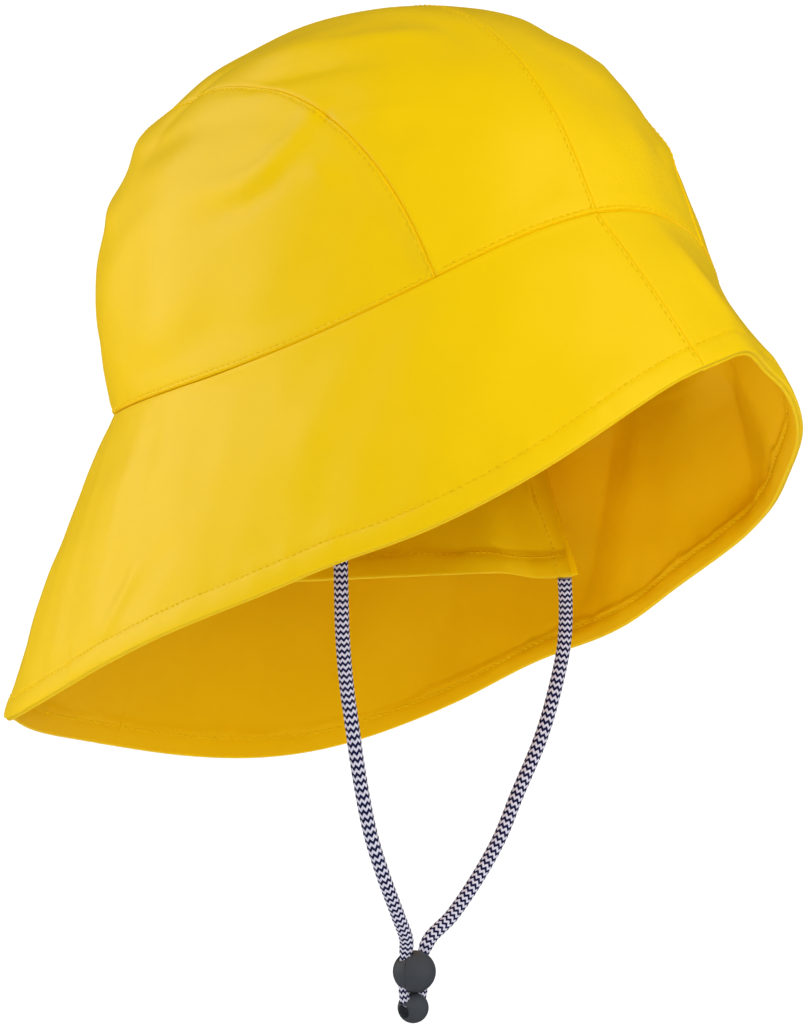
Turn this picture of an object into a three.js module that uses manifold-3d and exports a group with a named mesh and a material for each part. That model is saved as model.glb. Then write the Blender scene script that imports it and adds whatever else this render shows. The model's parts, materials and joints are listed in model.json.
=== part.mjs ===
// A sou'wester rain hat of coated cloth, worn tilted back on the head.
// Millimetres, +Z up, the hat's front towards -Y and the wearer's right towards -X.
// The origin is the centre of the head opening.
// Each soft panel is a closed wall of even thickness on a surface that a function gives.

import * as THREE from "three";
import Module from "manifold-3d";
import { mergeVertices } from "three/addons/utils/BufferGeometryUtils.js";

const wasm = await Module();
wasm.setup();

// Head opening: the round of the head that it fits, and its length over its width
const HEAD_ROUND = 600;
const HEAD_OVAL = 1.22;
const TILT_BACK = 17;

// Coated cloth
const WALL = 1.4;
const SEAM_GAP = 0.3;

// Crown
const CROWN_HEIGHT = 95;
const CROWN_PLAN_POWER = 0.734;
const CROWN_RISE_POWER = 0.99;
const CROWN_TOP_FORWARD = 6;
const CROWN_MIDDLE_BACK = 8.4;
const CROWN_TOP_ASIDE = 5;
const CROWN_BELLY = 1.3;
const CROWN_BELLY_FRONT = 2.6;
const CROWN_BELLY_POWER = 1.2;
const CROWN_BELLY_LOW = 0.3;
const CROWN_SEAM_FADE = 1.3;

// Middle strip of the crown: half its width at the front seam, over the top and at the back seam
const STRIP_HALF_FRONT = 46.5;
const STRIP_HALF_TOP = 49;
const STRIP_HALF_BACK = 40;

// Brim: how far it spreads past the opening in plan, and how far its rim lies below it
const BRIM_FRONT_SPREAD = 17;
const BRIM_BACK_SPREAD = 73.5;
const BRIM_SIDE_SPREAD = 12;
const BRIM_DROP = 75;
const BRIM_BLUNT = 4.1;
const BRIM_SKEW = -7.6;
const BRIM_BOW = 1.2;

// Neck flap
const FLAP_DEPTH = 70;
const FLAP_START_TURN = 121;
const FLAP_BELLY = 6;
const FLAP_SEAM_DROP = 1.5;

// Chin cord, its lock and its bead
const CORD_THICK = 4.3;
const CORD_CLEARANCE = 0.3;
const LOCK_WIDE = 13;
const LOCK_TALL = 12.3;
const LOCK_CAP_PART = 2.5;
const BEAD_WIDE = 9.4;
const LOCK_TURN = -33;
const CORD_SIDES = 10;

// Height waves of the crown seam round the opening, as shares of the crown's height.
// A row gives how many waves go round, and the wave's even and uneven part.
const SEAM_WAVES = [
  { waves: 1, even: 0, uneven: -0.006 },
  { waves: 2, even: 0.135, uneven: 0.024 },
  { waves: 3, even: 0.025, uneven: -0.042 },
];

// Height waves of the rim, as shares of the brim's drop
const RIM_WAVES = [
  { waves: 1, even: 0.386, uneven: 0.007 },
  { waves: 2, even: 0.125, uneven: -0.102 },
  { waves: 3, even: 0.018, uneven: -0.012 },
  { waves: 4, even: 0.029, uneven: -0.03 },
];

// Dents of the crown. turn and wide are degrees round the crown from the front towards the
// wearer's right; height, tall and depth are shares of the crown's height.
const CROWN_DENTS = [
  { turn: 142, height: 0.84, wide: 26, tall: 0.1, depth: 0.02 },
  { turn: 98, height: 0.7, wide: 24, tall: 0.045, depth: 0.012 },
  { turn: 62, height: 0.93, wide: 22, tall: 0.03, depth: 0.01 },
  { turn: -38, height: 0.8, wide: 20, tall: 0.06, depth: 0.014 },
  { turn: -120, height: 0.78, wide: 30, tall: 0.08, depth: 0.014 },
  { turn: 172, height: 0.5, wide: 24, tall: 0.09, depth: 0.012 },
];

// Soft folds of the brim, growing towards the rim. turn and wide are degrees round the rim,
// and out is how far the rim moves outwards, as a share of the brim's drop.
const BRIM_FOLDS = [
  { turn: 60, wide: 13, out: -0.02 },
  { turn: 86, wide: 11, out: 0.03 },
  { turn: 112, wide: 10, out: -0.016 },
  { turn: 150, wide: 12, out: 0.02 },
  { turn: 205, wide: 13, out: -0.018 },
  { turn: 232, wide: 12, out: 0.02 },
  { turn: 282, wide: 8, out: -0.02 },
  { turn: 300, wide: 8, out: 0.024 },
  { turn: 318, wide: 7, out: -0.02 },
];

// Lower edge of the neck flap from its right front corner round the back to the left one.
// aside is a share of the opening's half width, forward of its half length and drop of the
// flap's depth below the opening.
const FLAP_HEM = [
  { aside: 0.47, forward: 0.1, drop: 0.85 },
  { aside: 0.58, forward: -0.14, drop: 0.89 },
  { aside: 0.62, forward: -0.44, drop: 0.88 },
  { aside: 0.45, forward: -0.72, drop: 0.83 },
  { aside: 0, forward: -0.84, drop: 0.83 },
  { aside: -0.45, forward: -0.72, drop: 0.88 },
  { aside: -0.62, forward: -0.48, drop: 0.94 },
  { aside: -0.6, forward: -0.24, drop: 1.02 },
  { aside: -0.56, forward: -0.03, drop: 1.06 },
];

// Route of the chin cord from the flap's right corner down through the lock, round through the
// bead, and up through the lock to the left corner
const LOCK_CENTRE = new THREE.Vector3(-8, -14, -188.5);
const BEAD_CENTRE = new THREE.Vector3(-8.1, -13.5, -199.7);
const CORD_ROUTE = [
  [-40.8, -24.8, -56.7],
  [-40.7, -25, -68],
  [-40, -24.5, -81],
  [-38.2, -23.5, -95],
  [-35.5, -22.5, -109],
  [-32, -21, -125],
  [-27.5, -19.5, -143],
  [-22.5, -18, -157],
  [-16.5, -16, -170],
  [-12.6, -14.2, -179],
  [-11.6, -13.7, -184],
  [-11.6, -13.7, -190],
  [-11.6, -13.7, -196.2],
  [-10.6, -13.6, -198.7],
  [-8.1, -13.5, -199.7],
  [-5.6, -13.4, -198.7],
  [-4.6, -13.3, -196.2],
  [-4.6, -13.3, -190],
  [-4.4, -13.3, -184],
  [-2, -13.4, -179.2],
  [4.5, -13.4, -173.4],
  [13.6, -13.3, -163],
  [22.8, -13, -151],
  [30, -12.6, -139],
  [39.3, -12, -122],
  [44.8, -11.5, -107.5],
  [48.4, -11, -94],
  [49.2, -10.6, -83],
  [48.8, -10.5, -74.1],
].map((place) => new THREE.Vector3(...place));

const degrees = THREE.MathUtils.degToRad;

// Half axes of the oval opening, from the round of the head
const ovalRound = (a, b) => Math.PI * (3 * (a + b) - Math.sqrt((3 * a + b) * (a + 3 * b)));
const OPENING_HALF_WIDTH = HEAD_ROUND / ovalRound(HEAD_OVAL, 1);
const OPENING_HALF_LENGTH = OPENING_HALF_WIDTH * HEAD_OVAL;

const cloth = new THREE.MeshStandardMaterial({ color: 0xf2cb12, roughness: 0.5, metalness: 0 });
const innerCloth = new THREE.MeshStandardMaterial({ color: 0xdda70a, roughness: 0.55, metalness: 0 });
const braid = new THREE.MeshStandardMaterial({ color: 0x9c9db8, roughness: 0.85, metalness: 0 });
const plastic = new THREE.MeshStandardMaterial({ color: 0x202124, roughness: 0.35, metalness: 0 });

// Turns a place given as (towards the wearer's right, forward, up) on the level hat into the
// tilted hat's place in the part's frame
function tilted(aside, forward, up) {
  const place = new THREE.Vector3(-aside, -forward, up);
  return place.applyAxisAngle(new THREE.Vector3(1, 0, 0), degrees(-TILT_BACK));
}

function waveHeight(rows, turn) {
  return rows.reduce(
    (sum, row) => sum + row.even * Math.cos(row.waves * turn) + row.uneven * Math.sin(row.waves * turn),
    0,
  );
}

// Hump of height 1 at a turn, fading over a width, both in degrees, across the full circle
function humpRound(turn, centre, wide) {
  const apart = Math.atan2(Math.sin(turn - degrees(centre)), Math.cos(turn - degrees(centre)));
  return Math.exp(-((apart / degrees(wide)) ** 2));
}

// Crown seam at a turn round the opening, from the front towards the wearer's right
function seamPlace(turn) {
  return {
    aside: OPENING_HALF_WIDTH * Math.sin(turn),
    forward: OPENING_HALF_LENGTH * Math.cos(turn),
    up: CROWN_HEIGHT * waveHeight(SEAM_WAVES, turn),
  };
}

// Rim of the brim at a turn, an oval set back from the opening's centre
function rimPlace(turn) {
  const halfLength = OPENING_HALF_LENGTH + (BRIM_FRONT_SPREAD + BRIM_BACK_SPREAD) / 2;
  const setBack = (BRIM_BACK_SPREAD - BRIM_FRONT_SPREAD) / 2;
  const halfWidth = OPENING_HALF_WIDTH + BRIM_SIDE_SPREAD;
  const out = 1 + (BRIM_DROP / halfLength) * foldOut(turn);
  const aside = halfWidth * Math.sin(turn) * out;
  const blunt = BRIM_BLUNT * (Math.cos(turn) - Math.cos(3 * turn));
  const forward = (halfLength * Math.cos(turn) + blunt) * out - setBack;
  const skew = degrees(BRIM_SKEW);
  return {
    aside: aside * Math.cos(skew) + forward * Math.sin(skew),
    forward: forward * Math.cos(skew) - aside * Math.sin(skew),
    up: BRIM_DROP * (waveHeight(RIM_WAVES, turn) - 1),
  };
}

function foldOut(turn) {
  return BRIM_FOLDS.reduce((sum, fold) => sum + fold.out * humpRound(turn, fold.turn, fold.wide), 0);
}

// Outer surface of the crown for a direction on the unit half-ball above the opening
function crownPlace(direction) {
  const turn = Math.atan2(direction.x, direction.y);
  const rise = THREE.MathUtils.clamp(direction.z, 0, 1);
  const high = rise ** CROWN_RISE_POWER;
  const belly = (CROWN_BELLY + CROWN_BELLY_FRONT * Math.cos(turn)) / OPENING_HALF_WIDTH;
  const swell = 1 + belly * Math.sin(Math.PI * high) ** CROWN_BELLY_POWER * (1 - CROWN_BELLY_LOW * high);
  const dent = CROWN_DENTS.reduce((sum, row) => {
    const tall = Math.exp(-(((high - row.height) / row.tall) ** 2));
    return sum + row.depth * tall * humpRound(turn, row.turn, row.wide);
  }, 0);
  const level = Math.sqrt(1 - rise * rise) ** CROWN_PLAN_POWER;
  const plan = level * swell * (1 - dent);
  const seam = seamPlace(turn);
  const lean = CROWN_TOP_FORWARD * high - CROWN_MIDDLE_BACK * 4 * high * (1 - high);
  const fade = (1 - high) ** CROWN_SEAM_FADE * level * level;
  return tilted(
    seam.aside * plan + CROWN_TOP_ASIDE * high,
    seam.forward * plan + lean,
    seam.up * fade + SEAM_GAP * (1 - high) + CROWN_HEIGHT * high * (1 - dent),
  );
}

// Half width of the crown's middle strip at an angle from its front end over the top, as a
// share of the opening's half width
function stripHalf(angle) {
  const ends = (STRIP_HALF_FRONT + STRIP_HALF_BACK) / 4;
  const lean = (STRIP_HALF_FRONT - STRIP_HALF_BACK) / 2;
  const half = ends + STRIP_HALF_TOP / 2 + lean * Math.cos(angle);
  return (half + (ends - STRIP_HALF_TOP / 2) * Math.cos(2 * angle)) / OPENING_HALF_WIDTH;
}

// Direction to the crown where a slice at a share of the half width meets it
function sliceDirection(aside, angle) {
  const round = Math.sqrt(1 - aside * aside);
  return new THREE.Vector3(aside, round * Math.cos(angle), round * Math.sin(angle));
}

// Half of a seam's gap as a share of the half width, and the blunt tips of the side panels,
// as a share of their length
const EDGE_GAP = SEAM_GAP / 2 / OPENING_HALF_WIDTH;
const SIDE_PANEL_TIP = 0.004;

// Middle strip: along runs from front to back, across from the centre seam to the side seam
function crownTopSurface(side) {
  return (along, across) => {
    const angle = Math.PI * along;
    const share = THREE.MathUtils.lerp(EDGE_GAP, stripHalf(angle) - EDGE_GAP, across);
    return crownPlace(sliceDirection(side * share, angle));
  };
}

// Side panel: along runs from front to back, up from the crown seam to the strip's edge
function crownSideSurface(side) {
  const frontTurn = Math.asin(stripHalf(0));
  const backTurn = Math.PI - Math.asin(stripHalf(Math.PI));
  return (along, up) => {
    const way = THREE.MathUtils.lerp(SIDE_PANEL_TIP, 1 - SIDE_PANEL_TIP, along);
    const turn = THREE.MathUtils.lerp(frontTurn, backTurn, way);
    const low = new THREE.Vector3(Math.sin(turn), Math.cos(turn), 0);
    const angle = Math.PI * way;
    const high = sliceDirection(stripHalf(angle) + EDGE_GAP, angle);
    const direction = low.lerp(high, up).normalize();
    direction.x *= side;
    return crownPlace(direction);
  };
}

// Half of the brim: along runs from the front seam to the back seam, down from crown to rim
function brimSurface(side) {
  const gapTurn = SEAM_GAP / 2 / OPENING_HALF_LENGTH;
  return (along, down) => {
    const turn = side * THREE.MathUtils.lerp(gapTurn, Math.PI - gapTurn, along);
    const seam = seamPlace(turn);
    const rim = rimPlace(turn);
    const bow = BRIM_BOW * Math.sin(Math.PI * down);
    return tilted(
      THREE.MathUtils.lerp(seam.aside, rim.aside, down) + bow * Math.sin(turn),
      THREE.MathUtils.lerp(seam.forward, rim.forward, down) + bow * Math.cos(turn),
      THREE.MathUtils.lerp(seam.up, rim.up, down),
    );
  };
}

// Value of a table's column at a share of the way along its rows, as a smooth curve
function alongRows(rows, column, way) {
  const points = rows.map((row, index) => new THREE.Vector2(index, row[column]));
  return new THREE.SplineCurve(points).getPoint(way).y;
}

// Neck flap: along runs from the right front corner round the back, down from seam to hem
function flapSurface(along, down) {
  const turn = THREE.MathUtils.lerp(degrees(FLAP_START_TURN), degrees(360 - FLAP_START_TURN), along);
  const seam = seamPlace(turn);
  const inset = WALL + SEAM_GAP;
  const seamIn = 1 - inset / OPENING_HALF_WIDTH;
  const hem = {
    aside: OPENING_HALF_WIDTH * alongRows(FLAP_HEM, "aside", along),
    forward: OPENING_HALF_LENGTH * alongRows(FLAP_HEM, "forward", along),
    up: -FLAP_DEPTH * alongRows(FLAP_HEM, "drop", along),
  };
  const belly = FLAP_BELLY * Math.sin(Math.PI * down) * Math.sin(Math.PI * along);
  return tilted(
    THREE.MathUtils.lerp(seam.aside * seamIn, hem.aside, down) + belly * Math.sin(turn),
    THREE.MathUtils.lerp(seam.forward * seamIn, hem.forward, down) + belly * Math.cos(turn),
    THREE.MathUtils.lerp(seam.up - FLAP_SEAM_DROP, hem.up, down),
  );
}

// Outward normal of a surface whose two directions turn right-handed about it
function surfaceNormal(surface, first, second) {
  const step = 0.002;
  const a = THREE.MathUtils.clamp(first, step, 1 - step);
  const b = THREE.MathUtils.clamp(second, step, 1 - step);
  const alongFirst = surface(a + step, b).sub(surface(a - step, b));
  const alongSecond = surface(a, b + step).sub(surface(a, b - step));
  return alongFirst.cross(alongSecond).normalize();
}

// Closed cloth wall whose outer face lies on the surface
function clothPanel(name, surface, steps, material) {
  const geometry = new THREE.BoxGeometry(1, 1, 1, steps.along, steps.across, 1);
  const position = geometry.attributes.position;
  const corner = new THREE.Vector3();
  for (let index = 0; index < position.count; index += 1) {
    corner.fromBufferAttribute(position, index).addScalar(0.5);
    const depth = WALL * (corner.z - 1);
    const place = surface(corner.x, corner.y);
    place.addScaledVector(surfaceNormal(surface, corner.x, corner.y), depth);
    position.setXYZ(index, place.x, place.y, place.z);
  }
  geometry.computeVertexNormals();
  return namedMesh(name, geometry, material);
}

function namedMesh(name, geometry, material) {
  const mesh = new THREE.Mesh(geometry, material);
  mesh.name = name;
  return mesh;
}

// The same surface with its first direction reversed, so that its normal turns round
const reversed = (surface) => (first, second) => surface(1 - first, second);

// Cord route whose steps follow its points, so that the tight loop gets short steps
class RouteCurve extends THREE.CatmullRomCurve3 {
  getPointAt(share, target) {
    return this.getPoint(share, target);
  }

  getTangentAt(share, target) {
    return this.getTangent(share, target);
  }
}

function cordTube(thick) {
  const section = new THREE.Shape();
  section.absarc(0, 0, thick / 2, 0, 2 * Math.PI);
  const stepsPerPoint = 2;
  return new THREE.ExtrudeGeometry(section, {
    curveSegments: CORD_SIDES / 2,
    steps: stepsPerPoint * (CORD_ROUTE.length - 1),
    extrudePath: new RouteCurve(CORD_ROUTE),
  });
}

function solidFrom(geometry) {
  const bare = geometry.clone();
  bare.deleteAttribute("normal");
  bare.deleteAttribute("uv");
  const merged = mergeVertices(bare, 1e-4);
  return new wasm.Manifold(new wasm.Mesh({
    numProp: 3,
    vertProperties: new Float32Array(merged.attributes.position.array),
    triVerts: new Uint32Array(merged.index.array),
  }));
}

function geometryFrom(solid) {
  const mesh = solid.getMesh();
  const geometry = new THREE.BufferGeometry();
  geometry.setAttribute("position", new THREE.BufferAttribute(mesh.vertProperties, 3));
  geometry.setIndex(new THREE.BufferAttribute(mesh.triVerts, 1));
  geometry.computeVertexNormals();
  return geometry;
}

// Ball of the lock, as far as it lies on one side of its parting plane
function lockPart(from, to, passage) {
  const ball = new THREE.SphereGeometry(LOCK_WIDE / 2, 20, 12);
  ball.rotateX(Math.PI / 2).scale(1, 1, LOCK_TALL / LOCK_WIDE);
  const keep = new THREE.BoxGeometry(to - from, LOCK_WIDE * 2, LOCK_WIDE * 2);
  keep.translate((from + to) / 2, 0, 0);
  const part = solidFrom(ball).intersect(solidFrom(keep));
  const placed = geometryFrom(part).rotateZ(degrees(LOCK_TURN));
  placed.translate(LOCK_CENTRE.x, LOCK_CENTRE.y, LOCK_CENTRE.z);
  return geometryFrom(solidFrom(placed).subtract(passage));
}

function cordBead(passage) {
  const ball = new THREE.SphereGeometry(BEAD_WIDE / 2, 16, 12);
  ball.rotateX(Math.PI / 2).translate(BEAD_CENTRE.x, BEAD_CENTRE.y, BEAD_CENTRE.z);
  return geometryFrom(solidFrom(ball).subtract(passage));
}

const hat = new THREE.Group();

const topSteps = { along: 32, across: 5 };
const sideSteps = { along: 32, across: 10 };
const brimSteps = { along: 44, across: 5 };
const flapSteps = { along: 36, across: 5 };

hat.add(clothPanel("crown_top_right", crownTopSurface(1), topSteps, cloth));
hat.add(clothPanel("crown_top_left", reversed(crownTopSurface(-1)), topSteps, cloth));
hat.add(clothPanel("crown_side_right", reversed(crownSideSurface(1)), sideSteps, cloth));
hat.add(clothPanel("crown_side_left", crownSideSurface(-1), sideSteps, cloth));
hat.add(clothPanel("brim_right", brimSurface(1), brimSteps, cloth));
hat.add(clothPanel("brim_left", reversed(brimSurface(-1)), brimSteps, cloth));
hat.add(clothPanel("neck_flap", flapSurface, flapSteps, innerCloth));

hat.add(namedMesh("chin_cord", cordTube(CORD_THICK), braid));

const passage = solidFrom(cordTube(CORD_THICK + 2 * CORD_CLEARANCE));
const parting = -LOCK_CAP_PART;
hat.add(namedMesh("cord_lock", lockPart(parting, LOCK_WIDE, passage), plastic));
hat.add(namedMesh("cord_lock_cap", lockPart(-LOCK_WIDE, parting - SEAM_GAP, passage), plastic));
hat.add(namedMesh("cord_bead", cordBead(passage), plastic));

export default hat;
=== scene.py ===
# %% [markdown]
# # A sou'wester rain hat
#
# The hat is sewn from coated cloth: two top panels and two side panels make the crown, two
# halves make the sloping brim, and a flap hangs inside to cover the neck. A braided cord runs
# from the flap's corners through a ball lock to a bead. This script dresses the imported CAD
# frame: each cloth wall is made again on the same surface, with its seams, hems and stitches.

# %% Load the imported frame
import json
import math
from types import SimpleNamespace

import bpy
import numpy as np
from mathutils import Matrix, Vector

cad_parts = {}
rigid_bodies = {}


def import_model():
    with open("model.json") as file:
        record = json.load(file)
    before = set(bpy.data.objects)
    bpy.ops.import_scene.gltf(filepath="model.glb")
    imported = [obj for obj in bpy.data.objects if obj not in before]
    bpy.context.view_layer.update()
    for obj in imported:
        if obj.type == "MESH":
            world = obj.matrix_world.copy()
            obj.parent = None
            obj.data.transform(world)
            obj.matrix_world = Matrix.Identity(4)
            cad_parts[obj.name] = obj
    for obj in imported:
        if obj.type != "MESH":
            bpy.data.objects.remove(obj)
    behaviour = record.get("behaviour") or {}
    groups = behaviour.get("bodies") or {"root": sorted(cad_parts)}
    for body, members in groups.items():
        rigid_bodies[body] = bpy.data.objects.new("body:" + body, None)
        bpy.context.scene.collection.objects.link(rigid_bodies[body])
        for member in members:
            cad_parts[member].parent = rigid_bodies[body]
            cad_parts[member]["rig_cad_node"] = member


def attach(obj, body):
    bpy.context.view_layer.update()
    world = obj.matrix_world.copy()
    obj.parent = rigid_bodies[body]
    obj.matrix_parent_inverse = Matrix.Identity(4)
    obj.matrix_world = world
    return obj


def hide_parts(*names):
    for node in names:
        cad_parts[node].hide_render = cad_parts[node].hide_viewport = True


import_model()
bpy.ops.object.select_all(action="DESELECT")
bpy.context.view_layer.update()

# %% [markdown]
# ## Camera
#
# The photograph looks at the hat from its front right, a little from above. The camera stands
# 1.5 m away with a long lens, so that the brim shows little perspective. Its axes are worked
# out from two angles, and its place is shifted by a few millimetres to centre the picture.

# %% Camera at the photograph's viewing angle
MM = 0.001
VIEW_TURN = math.radians(-33)
VIEW_RISE = math.radians(8)
VIEW_AWAY = 1.5
SHIFT_LEFT, SHIFT_DOWN = 0.00234, 0.05081
SENSOR_WIDE = 36
PIXELS_PER_METRE = 3350
PHOTO_TALL = 1024

view_right = Vector((math.cos(VIEW_TURN), math.sin(VIEW_TURN), 0))
view_back = Vector((math.sin(VIEW_TURN), -math.cos(VIEW_TURN), 0)) * math.cos(VIEW_RISE)
view_back.z = math.sin(VIEW_RISE)
view_up = view_back.cross(view_right)

camera_data = bpy.data.cameras.new("photo_camera")
camera_data.sensor_width = SENSOR_WIDE
camera_data.lens = PIXELS_PER_METRE * VIEW_AWAY * SENSOR_WIDE / PHOTO_TALL
camera = bpy.data.objects.new("photo_camera", camera_data)
bpy.context.scene.collection.objects.link(camera)
camera_place = view_back * VIEW_AWAY - view_right * SHIFT_LEFT - view_up * SHIFT_DOWN
axes = Matrix((view_right, view_up, view_back)).transposed()
camera.matrix_world = Matrix.Translation(camera_place) @ axes.to_4x4()
bpy.context.scene.camera = camera
print("camera at", [round(value, 3) for value in camera_place], "lens", round(camera_data.lens, 1))

# %% [markdown]
# ## Chin cord
#
# The real cord is a round braid, 4.3 mm thick, of navy and white yarns that lie in fine zigzag
# rows. It leaves one corner of the neck flap, hangs down through the lock, turns round in the
# bead and climbs back to the other corner. A curve with a round bevel could make it, but the
# yarns stand proud of each other, so a mesh tube with a small relief was chosen.

# %% Route of the cord
CORD_THICK = 4.3
CORD_ROUTE = [
    (-40.8, -24.8, -56.7), (-40.7, -25, -68), (-40, -24.5, -81), (-38.2, -23.5, -95),
    (-35.5, -22.5, -109), (-32, -21, -125), (-27.3, -19.7, -143), (-21.8, -18.4, -157),
    (-15.5, -16.6, -170), (-11.4, -14.9, -178.5), (-11.3, -13.9, -184), (-11.5, -13.7, -190),
    (-11.4, -13.7, -195.2), (-10.5, -13.6, -197.5), (-8.1, -13.5, -198.4),
    (-5.7, -13.4, -197.5), (-4.8, -13.3, -195.2), (-4.6, -13.3, -190), (-4.4, -13.3, -184),
    (-2, -13.4, -179.2), (5.2, -13.8, -173.4), (14.5, -13.8, -163), (23.4, -13.3, -151),
    (30, -12.6, -139), (39.3, -12, -122), (44.8, -11.5, -107.5), (48.4, -11, -94),
    (49.2, -10.6, -83), (48.8, -10.5, -74.1),
]


def between(share, start, end, leave, arrive):
    """Smooth way from start to end at a share of it, with a given slope at each end."""
    square, cube = share ** 2, share ** 3
    return (
        (2 * cube - 3 * square + 1) * start + (cube - 2 * square + share) * leave
        + (3 * square - 2 * cube) * end + (cube - square) * arrive
    )


def smooth_route(points, steps):
    """Smooth curve through the points, with so many steps from each point to the next."""
    points = np.array(points, float)
    padded = np.vstack([2 * points[0] - points[1], points, 2 * points[-1] - points[-2]])
    places = []
    for index in range(len(points) - 1):
        before, start, end, after = padded[index:index + 4]
        into, over, away = np.linalg.norm([start - before, end - start, after - end], axis=1) ** 0.5
        leave = (start - before) / into - (end - before) / (into + over) + (end - start) / over
        arrive = (end - start) / over - (after - start) / (over + away) + (after - end) / away
        for share in np.arange(steps) / steps:
            places.append(between(share, start, end, leave * over, arrive * over))
    return np.vstack(places + [points[-1]])


def lengths_along(points, axis=0):
    """Distance along a line of points, or along a grid's lines, from the first point."""
    steps = np.linalg.norm(np.diff(points, axis=axis), axis=-1)
    return np.cumsum(np.insert(steps, 0, 0, axis=axis), axis=axis)


def even_points(points, spacing):
    """The same line with its points evenly spaced, close to the given spacing."""
    run = lengths_along(points)
    count = max(2, round(run[-1] / spacing) + 1)
    even = np.linspace(0, run[-1], count)
    return np.stack([np.interp(even, run, points[:, axis]) for axis in range(3)], axis=1)


CURVE_STEPS = 200
RING_SPACING = 0.3
cord_line = even_points(smooth_route(CORD_ROUTE, CURVE_STEPS), RING_SPACING)


# %% Mesh helpers
def mesh_piece(name, points, faces, uvs=None, face_materials=None):
    """A smooth-shaded object from points in millimetres. uvs has one row for each face corner."""
    mesh = bpy.data.meshes.new(name)
    mesh.from_pydata((np.asarray(points) * MM).tolist(), [], [tuple(face) for face in faces])
    if uvs is not None:
        layer = mesh.uv_layers.new(name="cloth_way")
        layer.data.foreach_set("uv", np.asarray(uvs, float).ravel())
    if face_materials is not None:
        mesh.polygons.foreach_set("material_index", np.asarray(face_materials, np.int32))
    mesh.polygons.foreach_set("use_smooth", np.ones(len(mesh.polygons), bool))
    mesh.update()
    piece = bpy.data.objects.new(name, mesh)
    bpy.context.scene.collection.objects.link(piece)
    return piece


def tube_frames(line):
    """Tangent and two cross directions at each point, carried along without twist."""
    tangents = np.gradient(line, axis=0)
    tangents /= np.linalg.norm(tangents, axis=1, keepdims=True)
    side = np.cross(tangents[0], (0.0, 1.0, 0.0))
    sides = []
    for tangent in tangents:
        side = side - tangent * np.dot(side, tangent)
        side = side / np.linalg.norm(side)
        sides.append(side)
    sides = np.array(sides)
    return tangents, sides, np.cross(tangents, sides)


def tube_piece(name, line, radius, sides, way=None):
    """Closed tube round a line. radius is one number, or one row for each ring of points."""
    _, across, over = tube_frames(line)
    angles = np.arange(sides) * 2 * math.pi / sides
    radii = np.broadcast_to(np.asarray(radius, float), (len(line), sides))
    ring = across[:, None] * np.cos(angles)[None, :, None]
    ring = ring + over[:, None] * np.sin(angles)[None, :, None]
    points = (line[:, None] + ring * radii[..., None]).reshape(-1, 3)
    rings = np.arange(len(line) - 1)[:, None] * sides
    here = np.arange(sides)[None, :]
    after = (here + 1) % sides
    quads = np.stack([rings + here, rings + after, rings + sides + after, rings + sides + here], -1)
    quads = quads.reshape(-1, 4)
    way = lengths_along(line) if way is None else way
    turn = np.stack([here, here + 1, here + 1, here], -1) / sides
    turn = np.broadcast_to(turn, (len(line) - 1, sides, 4)).reshape(-1)
    ends = [list(range(sides - 1, -1, -1)), list(range(len(points) - sides, len(points)))]
    end_uvs = np.zeros((2 * sides, 2))
    end_uvs[sides:, 1] = way[-1]
    uvs = np.vstack([np.stack([turn, way[quads // sides].reshape(-1)], -1), end_uvs])
    return mesh_piece(name, points, quads.tolist() + ends, uvs)


# %% Braided tube with the relief of its yarns
CORD_SIDES = 48
ZIGS_ROUND = 8
ZIG_LEAN = 0.46
YARN_PROUD = 0.13
SQUEEZE = 0.24
ROW_BLUNT, ARM_BLUNT = 0.7, 0.5
SQUEEZE_FROM, SQUEEZE_OVER = -181, 3
# Columns: distance along the cord, length of one navy and one white row there
ZIG_ROWS = [
    (0, 1.8), (35, 1.9), (60, 2.4), (95, 2.4), (122, 1.8), (150, 1.65), (172, 1.75), (205, 2.1),
    (250, 2.2), (294, 1.65),
]

cord_run = lengths_along(cord_line)
row_long = np.interp(cord_run, *np.array(ZIG_ROWS).T)
row_number = np.concatenate([[0], np.cumsum(2 * np.diff(cord_run) / (row_long[1:] + row_long[:-1]))])
cord_turn = np.arange(CORD_SIDES) / CORD_SIDES
zig = np.abs((cord_turn * ZIGS_ROUND) % 1 - 0.5) * 2
row_phase = row_number[:, None] + ZIG_LEAN * zig[None, :]
row_round = np.abs(np.sin(2 * math.pi * row_phase)) ** ROW_BLUNT
arm_round = np.abs(np.sin(2 * math.pi * cord_turn * ZIGS_ROUND))[None, :] ** ARM_BLUNT
squeezed = 1 - SQUEEZE * np.clip((SQUEEZE_FROM - cord_line[:, 2]) / SQUEEZE_OVER, 0, 1)
cord_radius = CORD_THICK / 2 - YARN_PROUD + YARN_PROUD * row_round * arm_round
cord_radius = cord_radius * squeezed[:, None]
chin_cord = tube_piece("braided_chin_cord", cord_line, cord_radius, CORD_SIDES, row_number)
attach(chin_cord, "root")
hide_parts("chin_cord")
print("braided cord has", len(chin_cord.data.polygons), "faces")

# %% [markdown]
# ## Lock and bead
#
# The lock is a black moulded ball in two parts, a body and a push cap, with both strands of
# the cord through it. The bead below it closes the loop. Balls are quickest from Blender's
# sphere: it is bisected at the parting line, its sharp rim is bevelled, and a tube along the
# cord's own route is cut out of it, so that the cord has room in its holes.

# %% Helpers for moulded pieces
SHARP_ANGLE = 35


def choose(piece):
    """Makes the piece the only selected one, and the active one."""
    bpy.ops.object.select_all(action="DESELECT")
    piece.select_set(True)
    bpy.context.view_layer.objects.active = piece


def apply_modifiers(piece):
    """Applies the piece's modifiers in their order."""
    choose(piece)
    for modifier in list(piece.modifiers):
        bpy.ops.object.modifier_apply(modifier=modifier.name)


def cut_out(piece, cutter):
    """Cuts the cutter's shape out of the piece."""
    modifier = piece.modifiers.new("passage", "BOOLEAN")
    modifier.operation = "DIFFERENCE"
    modifier.solver = "EXACT"
    modifier.object = cutter
    apply_modifiers(piece)


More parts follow.
